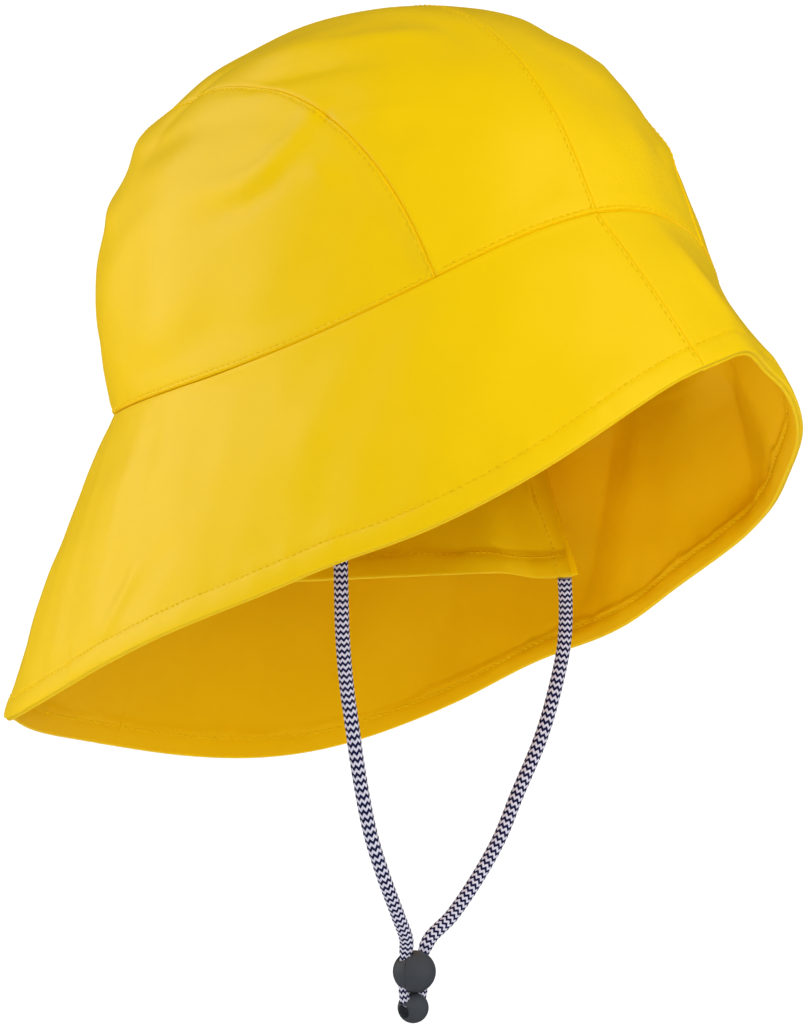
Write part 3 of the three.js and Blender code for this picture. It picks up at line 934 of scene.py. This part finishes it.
# %% Side panels
side_grids = {}
for side, word in SIDES:
    grid = panel_grid(
        both_ways(side_surface(side), -side), edge_dense(300, 300), edge_dense(76, 110)
    )
    folded = folds(grid, CLOTH_FOLDS, 11)
    outer = folded + stitched_seam(grid, "low", 31) + stitched_seam(grid, "high", 32)
    inner = folded - seam_inside(np.minimum(grid.low, grid.high))
    _, side_grids[word] = wall_piece(
        "crown_side_panel_" + word, "crown_side_" + word, grid, outer, inner
    )

# %% [markdown]
# ## Brim
#
# The brim is short in front and long behind, so that rain runs off past the collar. Its two
# halves meet in a seam at the front and one at the back. The hem is turned in by 9 mm and
# stitched, which draws small puckers along it, most of all on its inner side. Creases and
# crests run down the brim from its seam, and a few short folds lie across it.

# %% Brim halves
# Rows: points along a fold in millimetres, its half width and its height in millimetres
BRIM_FOLD_LINES = [
    ([(-98, -9, -55), (-100, 1, -70), (-102, 10, -86)], 3.2, 1),
    ([(-96, -22, -48), (-99, -13, -64)], 4, -0.5),
    ([(22, -98, 39), (28, -107, 27), (38, -114, 12)], 4, 0.8),
    ([(-86, -13, -9), (-83, -30, -5), (-79, -46, -3)], 4, -0.7),
    ([(-70, -62, -8), (-80, -64, -24)], 6, 0.5),
]
CREASE_FROM, CREASE_FULL = 0.02, 0.3
RIM_FADE_FROM, RIM_FADE = 0.7, 0.8
DRAWN_LEAST, DRAWN_FROM, DRAWN_FULL = 0.4, 232, 262

brim_grids = {}
for side, word in SIDES:
    grid = panel_grid(
        both_ways(brim_surface(side), side), edge_dense(420, 460, 0.5), edge_dense(84, 95)
    )
    turn = side * math.pi * (grid.along if side > 0 else 1 - grid.along)
    folded = humps(BRIM_CREASES, turn) + humps(BRIM_CRESTS, turn, 2, crest_round)
    folded = folded * smoothstep(CREASE_FROM, CREASE_FULL, grid.across)
    folded = folded * (1 - RIM_FADE * smoothstep(RIM_FADE_FROM, 1, grid.across))
    folded = folded + folds(grid, BRIM_FOLD_LINES, 12)
    centre = stitched_seam if side > 0 else plain_seam
    outer = folded + plain_seam(grid, "low") + centre(grid, "front", 41) + centre(grid, "back", 42)
    outer = outer + hem_outside(grid, "high", HEM_STITCH_IN, 43)
    inner = folded - seam_inside(np.minimum(grid.front if side > 0 else grid.back, grid.low))
    drawn = smoothstep(DRAWN_FROM, DRAWN_FULL, np.degrees(turn % (2 * math.pi)))
    drawn = DRAWN_LEAST + (1 - DRAWN_LEAST) * drawn
    inner = inner - drawn * hem_inside(grid, "high", HEM_STITCH_IN, HEM_TURNED_IN, 44)
    _, brim_grids[word] = wall_piece(
        "brim_half_" + word, "brim_" + word, grid, outer, inner, ("high",)
    )

# %% [markdown]
# ## Neck flap
#
# The flap is one sheet of the same cloth, sewn into the crown seam round the back of the head.
# It hangs inside the brim, with a stitched hem at its front edges and along the bottom.

# %% Neck flap
FLAP_STITCH_IN = 8.2
FLAP_TURNED_IN = 9.5
FLAP_SOFTNESS, FLAP_SOFT_WAVE = 0.5, 38
FLAP_HEM_SHARE = 0.6

grid = panel_grid(flap_surface, edge_dense(320, 330), edge_dense(64, 72))
outer = inner = FLAP_SOFTNESS * drift(grid.place, FLAP_SOFT_WAVE, 51) * fade_in(grid)
for edge, outer_seed, inner_seed in (("high", 52, 56), ("front", 54, 57), ("back", 55, 58)):
    outer = outer + hem_outside(grid, edge, FLAP_STITCH_IN, outer_seed)
    layers = hem_inside(grid, edge, FLAP_STITCH_IN, FLAP_TURNED_IN, inner_seed)
    inner = inner - FLAP_HEM_SHARE * layers
neck_flap, flap_grid = wall_piece(
    "neck_flap_sheet", "neck_flap", grid, outer, inner, ("high", "front", "back")
)
cells = np.linalg.norm(np.cross(
    grid.place[1:, :-1] - grid.place[:-1, :-1], grid.place[:-1, 1:] - grid.place[:-1, :-1]
), axis=-1)

# %% [markdown]
# ## Stitches
#
# Stitches 2.4 mm apart hold every seam and hem. A line of them is found on the finished cloth,
# at a fixed distance from an edge, and one small six-sided stitch is copied along it. Their
# ends dip into the cloth, as thread does at the needle's holes.

# %% Lines for stitches on the finished cloth
def line_in(grid, edge, inset, inside=False):
    """Points and outward normals on a panel's face at a distance in from one of its edges."""
    face = grid.inside if inside else grid.outside
    distance = getattr(grid, edge)
    if edge in ("front", "back"):
        face, distance, normal = face.swapaxes(0, 1), distance.T, grid.normal.swapaxes(0, 1)
    else:
        normal = grid.normal
    if edge in ("high", "back"):
        face, distance, normal = face[:, ::-1], distance[:, ::-1], normal[:, ::-1]
    points, normals = [], []
    for row in range(len(face)):
        if distance[row, -1] < inset * 1.6:
            continue
        spot = np.interp(inset, distance[row], np.arange(distance.shape[1]))
        index = min(int(spot), distance.shape[1] - 2)
        share = spot - index
        points.append(face[row, index] * (1 - share) + face[row, index + 1] * share)
        normals.append(normal[row, index])
    normals = np.array(normals) * (-1 if inside else 1)
    return np.array(points), normals


# Rings of one stitch: share along it, thickness as a share, and height above the cloth in mm
STITCH_RINGS = [(-0.5, 0.3, -0.2), (-0.3, 1, 0.06), (0.3, 1, 0.06), (0.5, 0.3, -0.2)]
STITCH_LONG = 1.75
THREAD_THICK = 0.48


def stitches(name, lines, seed):
    """One mesh with a stitch at every pitch along the lines."""
    rng = np.random.default_rng(seed)
    points, faces = [], []
    corner = np.arange(6) * math.pi / 3
    for line, normals in lines:
        run = lengths_along(line)
        for middle in np.arange(STITCH_PITCH, run[-1] - STITCH_PITCH, STITCH_PITCH):
            middle = middle + rng.uniform(-0.1, 0.1)
            ends = [
                np.array([np.interp(middle + reach, run, line[:, axis]) for axis in range(3)])
                for reach in (-STITCH_LONG / 2, 0, STITCH_LONG / 2)
            ]
            way = ends[2] - ends[0]
            way /= np.linalg.norm(way)
            normal = np.array([np.interp(middle, run, normals[:, axis]) for axis in range(3)])
            normal -= way * np.dot(normal, way)
            normal /= np.linalg.norm(normal)
            side = np.cross(way, normal)
            way = way + side * rng.uniform(0.02, 0.12)
            start = len(points)
            for share, thick, lift in STITCH_RINGS:
                centre = ends[1] + way * share * STITCH_LONG + normal * lift
                for angle in corner:
                    around = side * math.cos(angle) + normal * math.sin(angle)
                    points.append(centre + around * thick * THREAD_THICK / 2)
            for ring in range(3):
                for spot in range(6):
                    after = (spot + 1) % 6
                    low = start + ring * 6
                    faces.append((low + spot, low + 6 + spot, low + 6 + after, low + after))
            faces.append(tuple(start + spot for spot in range(6)))
            faces.append(tuple(start + 18 + spot for spot in reversed(range(6))))
    piece = mesh_piece(name, points, faces)
    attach(piece, "root")
    print(name, len(faces) // 20, "stitches")


# %% Stitch every seam and hem
tops, side_panels, brims = (
    list(grids.values()) for grids in (top_grids, side_grids, brim_grids)
)
flap_edges = [([flap_grid], edge) for edge in ("high", "front", "back")]
# Columns: name, panels with their edge, distance from the edge, inner face or not, seed
STITCHED = [
    ("stitches_crown_seam", [(side_panels, "low"), (tops, "front"), (tops, "back")],
     SEAM_STITCH_IN, False, 61),
    ("stitches_side_panels", [(side_panels, "high")], SEAM_STITCH_IN, False, 62),
    ("stitches_crown_centre", [(tops[:1], "low")], SEAM_STITCH_IN, False, 63),
    ("stitches_brim_seams", [(brims[:1], "front"), (brims[:1], "back")], SEAM_STITCH_IN, False, 64),
    ("stitches_brim_hem", [(brims, "high")], HEM_STITCH_IN, False, 65),
    ("stitches_brim_hem_inside", [(brims, "high")], HEM_STITCH_IN, True, 66),
    ("stitches_flap_hem", flap_edges, FLAP_STITCH_IN, False, 67),
    ("stitches_flap_hem_inside", flap_edges, FLAP_STITCH_IN, True, 68),
]
for name, edges, inset, inside, seed in STITCHED:
    lines = [line_in(grid, edge, inset, inside) for grids, edge in edges for grid in grids]
    stitches(name, lines, seed)

# %% [markdown]
# ## Materials
#
# A finish is written as arithmetic on fields. The small class below wraps a socket, so that an
# expression such as 0.4 + 0.1 * grain adds the Math nodes it needs. Every other node comes
# from one method that takes the node's type, its settings and its inputs.

# %% Shader arithmetic
class Field:
    """A changing value in a material, which can be added to, multiplied and so on."""

    def __init__(self, recipe, socket):
        self.recipe = recipe
        self.socket = socket

    def join(self, operation, first, second=None):
        values = [first] if second is None else [first, second]
        return self.recipe.node("ShaderNodeMath", {"operation": operation}, values)

    def __add__(self, other):
        return self.join("ADD", self, other)

    def __radd__(self, other):
        return self.join("ADD", other, self)

    def __sub__(self, other):
        return self.join("SUBTRACT", self, other)

    def __mul__(self, other):
        return self.join("MULTIPLY", self, other)

    def sine(self):
        return self.join("SINE", self)

    def fraction(self):
        return self.join("FRACT", self)

    def size(self):
        return self.join("ABSOLUTE", self)


class Recipe:
    """A material that is built up node by node."""

    def __init__(self, name):
        self.material = bpy.data.materials.new(name)
        self.material.use_nodes = True
        self.nodes = self.material.node_tree.nodes
        self.links = self.material.node_tree.links
        self.nodes.clear()

    def node(self, kind, settings=None, inputs=(), output=0):
        """Adds a node, sets it up, gives its inputs values or fields, and returns an output."""
        made = self.nodes.new(kind)
        for key, value in (settings or {}).items():
            setattr(made, key, value)
        pairs = inputs.items() if isinstance(inputs, dict) else enumerate(inputs)
        for key, value in pairs:
            if isinstance(value, Field):
                self.links.new(value.socket, made.inputs[key])
            else:
                made.inputs[key].default_value = value
        return Field(self, made.outputs[output]) if len(made.outputs) else made

    def place(self):
        """Object coordinates."""
        return self.node("ShaderNodeTexCoord", output=3)

    def own_map(self):
        """The two directions of the piece's own map, each as a field."""
        way = self.node("ShaderNodeUVMap", {"uv_map": "cloth_way"})
        split = self.node("ShaderNodeSeparateXYZ", {}, [way])
        return split, Field(self, split.socket.node.outputs[1])

    def noise(self, where, scale, detail=2.0, roughness=0.5):
        values = {"Vector": where, "Scale": scale, "Detail": detail, "Roughness": roughness}
        return self.node("ShaderNodeTexNoise", {}, values)

    def blend(self, share, first, second):
        """Mixes two colours, each a constant or a field."""
        values = {0: share, 6: first, 7: second}
        return self.node("ShaderNodeMix", {"data_type": "RGBA"}, values, 2)

    def bump(self, height, strength, deep):
        """Normal that follows a height, with the depth of a height of 1 in metres."""
        values = {"Strength": strength, "Distance": deep, "Height": height}
        return self.node("ShaderNodeBump", {}, values)

    def surface(self, colour, roughness, **others):
        """Finishes the material with one surface. others are inputs, with _ for a space."""
        values = {"Base Color": colour, "Roughness": roughness}
        values.update({key.replace("_", " "): value for key, value in others.items()})
        shader = self.node("ShaderNodeBsdfPrincipled", {}, values)
        self.node("ShaderNodeOutputMaterial", {}, {0: shader})
        print("material", self.material.name, "with", len(self.nodes), "nodes")
        return self.material


# %% [markdown]
# ### Coated cloth
#
# The cloth has a smooth rubbery coating with a soft satin shine. Close up it shows a very fine
# grain and the shadow of the weave under the coat. The inside is the same cloth, painted a
# deeper, more orange yellow as painted shade for the dim inside of the hat, with hardly any
# shine, so one function makes both from a few numbers. The neck flap has the outer finish on both its
# faces.

# %% Coated cloth, outside and inside
OUTER_YELLOW = (0.93, 0.61, 0.0012, 1)
OUTER_DEEPER = (0.91, 0.575, 0.001, 1)
# The inner colours are painted shade: the same yellow cloth made deeper and more orange for the dim
# inside.
INNER_PAINTED_SHADE_YELLOW = (0.87, 0.485, 0.0008, 1)
INNER_PAINTED_SHADE_DEEPER = (0.84, 0.445, 0.0006, 1)
WEAVE_PITCH = 0.00055
MOTTLE_SCALE, CLOUD_SCALE, CREASING_SCALE, GRAIN_SCALE = 22, 140, 210, 2600


def coated_cloth(name, yellow, deeper, roughness, weave_depth, grain_depth, shine):
    recipe = Recipe(name)
    where = recipe.place()
    warp, weft = recipe.own_map()
    mottle = recipe.noise(where, MOTTLE_SCALE, 3)
    cloud = recipe.noise(where, CLOUD_SCALE)
    grain = recipe.noise(where, GRAIN_SCALE)
    creasing = recipe.noise(where, CREASING_SCALE, 4, 0.55)
    per_metre = 2 * math.pi / WEAVE_PITCH
    threads = (warp * per_metre).sine() * (weft * per_metre).sine()
    height = grain * grain_depth + threads * weave_depth + creasing * (grain_depth * 1.6)
    return recipe.surface(
        recipe.blend(mottle * 0.5 + cloud * 0.3 - 0.15, yellow, deeper),
        roughness - 0.05 + mottle * 0.06 + grain * 0.05,
        Specular_IOR_Level=shine,
        Normal=recipe.bump(height, 0.55, 0.0004),
    )


cloth_outside = coated_cloth(
    "coated_cloth_outside", OUTER_YELLOW, OUTER_DEEPER, roughness=0.37, weave_depth=0.05,
    grain_depth=0.16, shine=0.18,
)
# The inside finish carries painted shade in its deeper, more orange colours.
cloth_inside_painted_shade = coated_cloth(
    "coated_cloth_inside_painted_shade", INNER_PAINTED_SHADE_YELLOW, INNER_PAINTED_SHADE_DEEPER, roughness=0.42, weave_depth=0.06,
    grain_depth=0.12, shine=0.04,
)

# %% Thread of the stitches
THREAD_LIGHT = (0.93, 0.64, 0.005, 1)
THREAD_DARK = (0.88, 0.54, 0.002, 1)
THREAD_FIBRES = 5200


def sewing_thread():
    recipe = Recipe("sewing_thread")
    fibres = recipe.noise(recipe.place(), THREAD_FIBRES)
    return recipe.surface(
        recipe.blend(fibres, THREAD_LIGHT, THREAD_DARK),
        0.5 + fibres * 0.15,
        Specular_IOR_Level=0.06,
        Normal=recipe.bump(fibres, 0.4, 0.0001),
    )


thread = sewing_thread()

# %% [markdown]
# ### Braid and plastic
#
# The braid's pattern follows the cord, so it is worked out from the tube's own map: one
# direction round the cord and the other along it. The yarns' rows change from navy to white
# along a zigzag line. The plastic is black, satin, and very slightly uneven from its mould.

# %% Braid of navy and white yarns
WHITE_YARN, WHITE_SHADE = (0.8, 0.78, 0.88, 1), (0.56, 0.55, 0.68, 1)
NAVY_YARN, NAVY_LIGHT = (0.004, 0.005, 0.035, 1), (0.012, 0.014, 0.08, 1)
NAVY_FROM, NAVY_FULL = -0.32, 0.16
FIBRES_ROUND, FIBRES_ALONG = 90, 9


def braid():
    recipe = Recipe("navy_and_white_braid")
    turn, row = recipe.own_map()
    zigzag = ((turn * ZIGS_ROUND).fraction() - 0.5).size() * 2
    phase = row + zigzag * ZIG_LEAN
    wave = (phase * (2 * math.pi)).sine()
    navy = recipe.node("ShaderNodeMapRange", {"interpolation_type": "SMOOTHSTEP"}, [
        wave, NAVY_FROM, NAVY_FULL, 0.0, 1.0,
    ])
    fibre_way = recipe.node("ShaderNodeCombineXYZ", {}, [
        turn * FIBRES_ROUND, phase * FIBRES_ALONG, 0.0,
    ])
    fibres = recipe.noise(fibre_way, 1.0)
    arms = (turn * (4 * math.pi * ZIGS_ROUND)).sine()
    white = recipe.blend(fibres, WHITE_YARN, WHITE_SHADE)
    blue = recipe.blend(fibres, NAVY_YARN, NAVY_LIGHT)
    return recipe.surface(
        recipe.blend(navy, white, blue),
        0.72 + fibres * 0.15,
        Specular_IOR_Level=0.2,
        Normal=recipe.bump(wave.size() + fibres * 0.5 + arms * 0.08, 0.5, 0.00015),
    )


navy_and_white = braid()

# %% Black moulded plastic
PLASTIC_BLACK, PLASTIC_LIGHTER = (0.05, 0.056, 0.065, 1), (0.06, 0.067, 0.077, 1)
MOULD_FINE, MOULD_BROAD = 3800, 420


def moulded_plastic():
    recipe = Recipe("black_moulded_plastic")
    where = recipe.place()
    fine = recipe.noise(where, MOULD_FINE, 3)
    broad = recipe.noise(where, MOULD_BROAD)
    return recipe.surface(
        recipe.blend(broad, PLASTIC_BLACK, PLASTIC_LIGHTER),
        0.42 + fine * 0.12,
        Specular_IOR_Level=0.2,
        Normal=recipe.bump(fine + broad, 0.25, 0.00006),
    )


black_plastic = moulded_plastic()

# %% Give each piece its finish
for piece in bpy.context.scene.objects:
    if piece.type != "MESH" or "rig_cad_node" in piece:
        continue
    if piece.name.startswith("stitches"):
        piece.data.materials.append(thread)
    elif piece == chin_cord:
        piece.data.materials.append(navy_and_white)
    elif piece in (lock_body, lock_cap, cord_bead):
        piece.data.materials.clear()
        piece.data.materials.append(black_plastic)
    else:
        piece.data.materials.append(cloth_outside)
        # Inner faces take the finish with painted shade; the flap keeps the outer colour on both
        # faces.
        piece.data.materials.append(cloth_outside if piece == neck_flap else cloth_inside_painted_shade)

# %% [markdown]
# ## Studio
#
# The photograph has a pure white background and very soft light, the same from nearly all
# round. A white floor that curves up behind the hat gives the background. Only the light on
# the left shows in the cloth's shine, because the photograph has its one broad sheen there:
# the floor, the other lights and the world light the cloth but give it no highlights.

# %% White floor that curves up behind
FLOOR_DOWN = 1.15
SWEEP_AWAY = 1.9
SWEEP_ROUND = 0.7
SWEEP_FRONT, SWEEP_TOP, SWEEP_REACH = -3.2, 3.2, 4
SWEEP_STEPS = 12
sweep_profile = [(SWEEP_FRONT, -FLOOR_DOWN), (SWEEP_AWAY, -FLOOR_DOWN)]
for step in range(1, SWEEP_STEPS + 1):
    angle = step / SWEEP_STEPS * math.pi / 2
    sweep_profile.append((
        SWEEP_AWAY + SWEEP_ROUND * math.sin(angle),
        -FLOOR_DOWN + SWEEP_ROUND * (1 - math.cos(angle)),
    ))
sweep_profile.append((SWEEP_AWAY + SWEEP_ROUND, SWEEP_TOP))
behind = Vector((-view_back.x, -view_back.y, 0)).normalized()
sweep_points, sweep_faces = [], []
for away, high in sweep_profile:
    for reach in (-SWEEP_REACH, SWEEP_REACH):
        place = behind * away + view_right * reach
        sweep_points.append((place.x / MM, place.y / MM, high / MM))
for row in range(len(sweep_profile) - 1):
    sweep_faces.append((2 * row, 2 * row + 1, 2 * row + 3, 2 * row + 2))
backdrop = mesh_piece("white_backdrop", sweep_points, sweep_faces)
backdrop.visible_glossy = False

paper = Recipe("white_paper")
paper_grain = paper.noise(paper.place(), 40)
backdrop.data.materials.append(paper.surface(
    paper.blend(paper_grain, (0.95, 0.95, 0.95, 1), (0.93, 0.93, 0.93, 1)),
    0.9,
    Emission_Color=(1, 1, 1, 1),
    Emission_Strength=0.1,
))
print("backdrop has", len(backdrop.data.polygons), "faces")


# %% Soft lights
def soft_light(name, turn, rise, away, wide, watts, shows_in_gloss=False):
    """A square area light at angles round the hat, from the camera's side, facing the hat."""
    light = bpy.data.lights.new(name, "AREA")
    light.shape = "SQUARE"
    light.size = wide
    light.energy = watts
    lamp = bpy.data.objects.new(name, light)
    lamp.visible_glossy = shows_in_gloss
    bpy.context.scene.collection.objects.link(lamp)
    turn, rise = VIEW_TURN + math.radians(turn), math.radians(rise)
    way = Vector((math.sin(turn) * math.cos(rise), -math.cos(turn) * math.cos(rise), math.sin(rise)))
    lamp.location = way * away
    lamp.rotation_euler = way.to_track_quat("Z", "Y").to_euler()
    return lamp


# Columns: name, turn and rise in degrees, distance and width in metres, watts, shows in gloss
LIGHTS = [
    ("left_light", -97, 20, 1.5, 1.6, 17, True),
    ("front_light", -4, 8, 2.0, 1.0, 16, False),
    ("right_light", 58, 31, 2.0, 1.7, 29.5, False),
    ("low_light", -112, -38, 1.3, 0.4, 3, False),
]
for row in LIGHTS:
    soft_light(*row)

BACKDROP_WATTS, BACKDROP_LIGHT_WIDE = 23, 1.4
BACKDROP_LIGHT_OUT, BACKDROP_LIGHT_AWAY, BACKDROP_LIGHT_UP = 1.1, 0.9, 1.3
BACKDROP_LIGHT_LEAN = 0.9
for side, word in ((-1, "left"), (1, "right")):
    lamp = soft_light("backdrop_light_" + word, 0, 0, 1, BACKDROP_LIGHT_WIDE, BACKDROP_WATTS)
    lamp.location = (
        behind * BACKDROP_LIGHT_AWAY + view_right * (side * BACKDROP_LIGHT_OUT)
        + Vector((0, 0, BACKDROP_LIGHT_UP))
    )
    leaning = -behind + Vector((0, 0, BACKDROP_LIGHT_LEAN))
    lamp.rotation_euler = leaning.to_track_quat("Z", "Y").to_euler()
print(len(bpy.data.lights), "lights")

# %% World that is pale for the camera and dim for the cloth
AMBIENT = 0.12
SEEN_WHITE = (0.9, 0.9, 0.9, 1)

world = bpy.data.worlds.new("pale_studio")
world.use_nodes = True
world_nodes, world_links = world.node_tree.nodes, world.node_tree.links
ambient = world_nodes["Background"]
ambient.inputs["Color"].default_value = (1, 1, 1, 1)
seen = world_nodes.new("ShaderNodeBackground")
seen.inputs["Color"].default_value = SEEN_WHITE
rays = world_nodes.new("ShaderNodeLightPath")
dimmed = world_nodes.new("ShaderNodeMath")
dimmed.operation = "MULTIPLY"
dimmed.inputs[1].default_value = AMBIENT
either = world_nodes.new("ShaderNodeMixShader")
for start, end in (
    (rays.outputs["Is Diffuse Ray"], dimmed.inputs[0]),
    (dimmed.outputs["Value"], ambient.inputs["Strength"]),
    (rays.outputs["Is Camera Ray"], either.inputs["Fac"]),
    (ambient.outputs["Background"], either.inputs[1]),
    (seen.outputs["Background"], either.inputs[2]),
    (either.outputs["Shader"], world_nodes["World Output"].inputs["Surface"]),
):
    world_links.new(start, end)
bpy.context.scene.world = world
bpy.context.scene.view_settings.view_transform = "Standard"
print("world", world.name, "with", len(world_nodes), "nodes")
